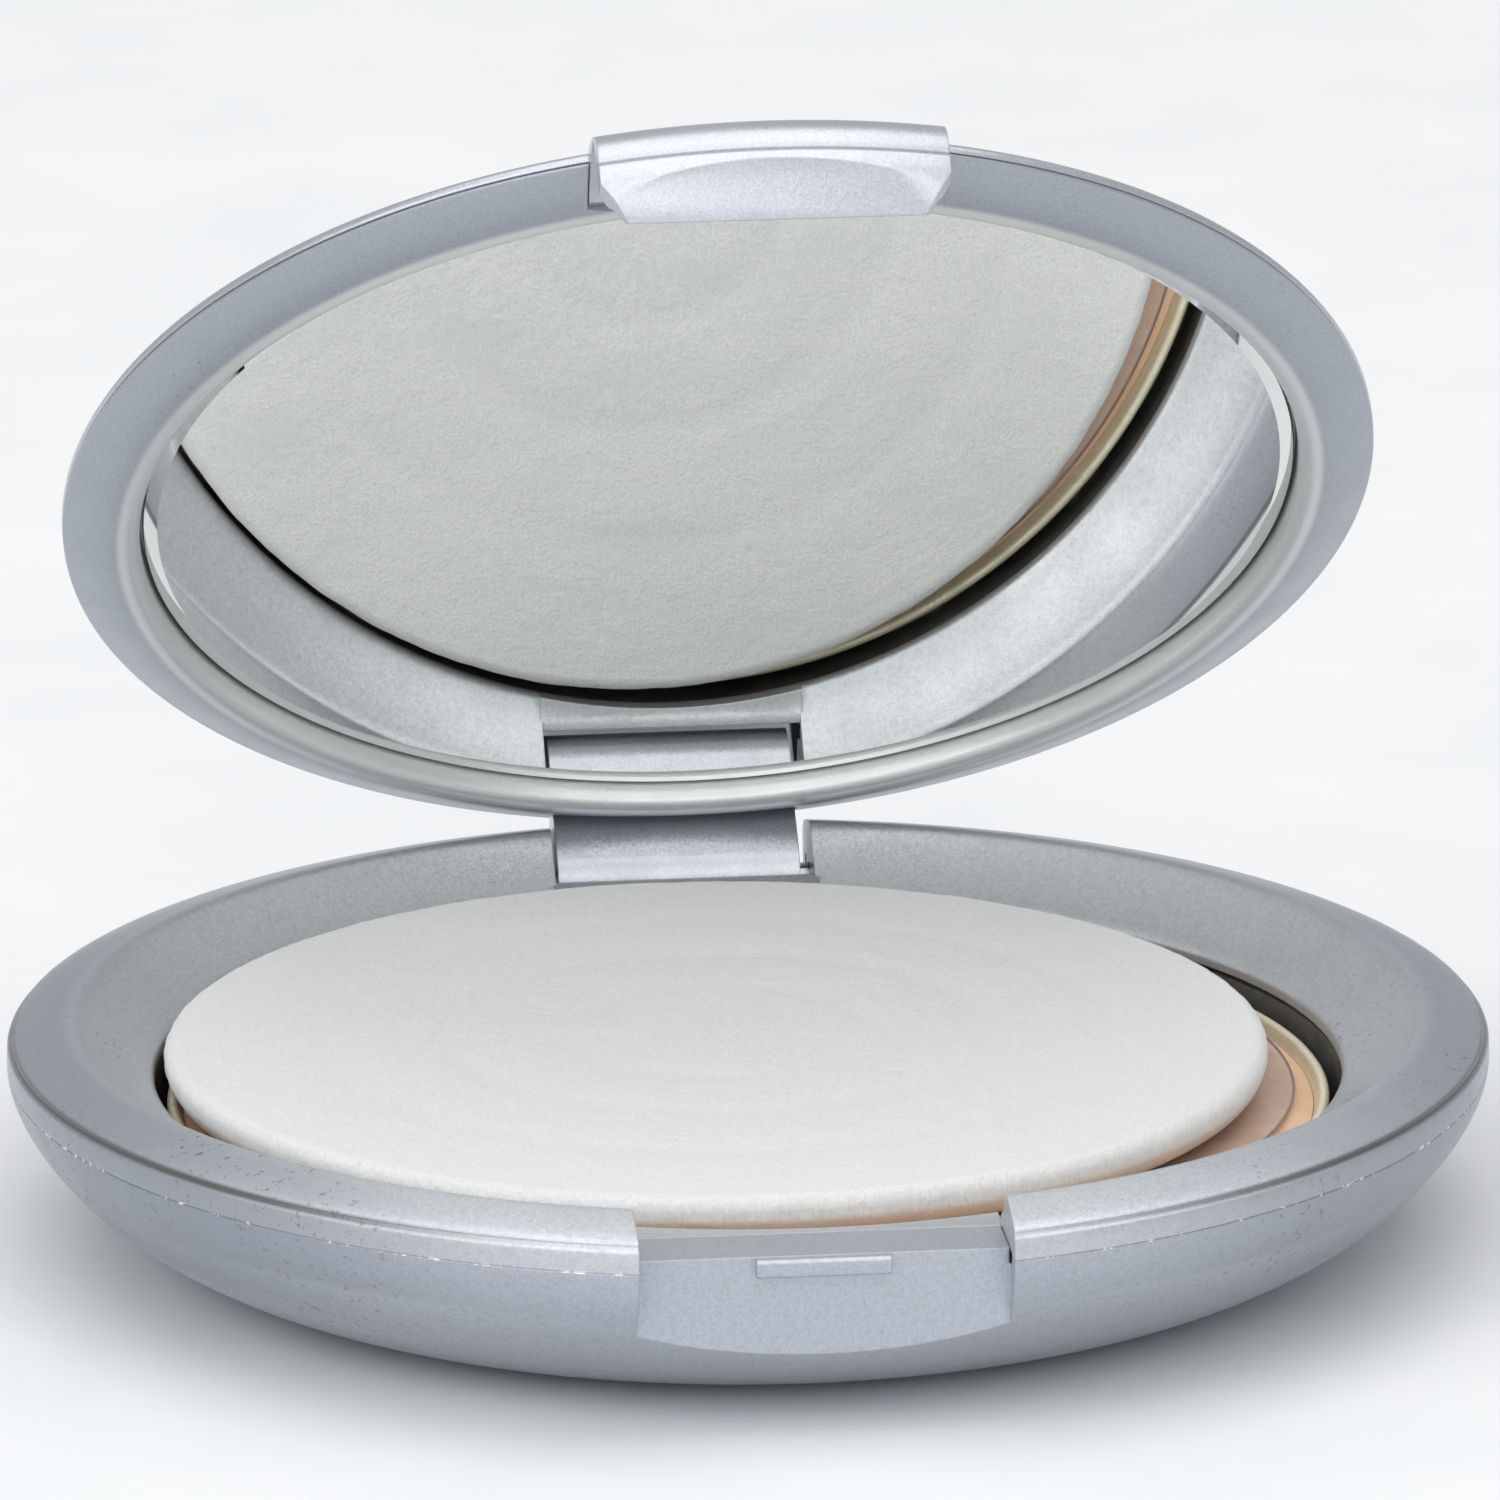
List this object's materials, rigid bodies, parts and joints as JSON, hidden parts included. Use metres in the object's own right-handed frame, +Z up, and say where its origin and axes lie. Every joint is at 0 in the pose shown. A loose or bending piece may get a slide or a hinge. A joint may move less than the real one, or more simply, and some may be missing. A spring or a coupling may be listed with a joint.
{
  "type": "powder compact",
  "caption": "Round silver powder compact, its mirror lid hinged open about 45 degrees over a pan of pressed powder and a flat puff.",
  "frame": {"origin": "centre of the round foot, on the plane that the compact stands on", "axes": "+Z up, the turning axis of the round base; -Y towards the thumb tab at the front, +Y towards the hinge; the hinge axis runs along X"},
  "size_m": [0.0762, 0.0754, 0.0619],
  "materials": {
    "silver_lacquer": "satin metallic lacquer with fine flake",
    "silver_lacquer_lid": "satin metallic lacquer with fine flake",
    "grey_plastic": "moulded, dark grey",
    "pin_steel": "drawn wire",
    "pan_gold": "gold anodised, drawn",
    "adhesive": "hot-melt pad",
    "pressed_powder": "fine pressed powder, matte",
    "clear_film": "thin clear film",
    "puff_velour": "short-napped velour",
    "mirror_glass": "polished, silvered on the back",
    "foam_tape": "double-sided tape"
  },
  "bodies": {
    "base": {"base_shell": "silver_lacquer", "base_rim": "silver_lacquer", "inner_tray": "grey_plastic", "hinge_pin": "pin_steel", "powder_pan": "pan_gold", "pan_adhesive": "adhesive", "powder_cake": "pressed_powder", "powder_film": "clear_film"},
    "lid": {"lid_shell": "silver_lacquer_lid", "lid_inner_panel": "silver_lacquer_lid", "mirror": "mirror_glass", "mirror_tape": "foam_tape"},
    "puff": {"puff": "puff_velour"}
  },
  "joints": [
    {"name": "lid_hinge", "type": "hinge", "parent": "base", "child": "lid", "pos_m": [0, 0.03486, 0.00848], "axis": [-1, 0, 0], "range_deg": [-45.5, 74.5]},
    {"name": "puff_turn", "type": "hinge", "parent": "base", "child": "puff", "pos_m": [-0.0016, 0.001, 0.0085], "axis": [0, 0, 1], "continuous": true}
  ]
}
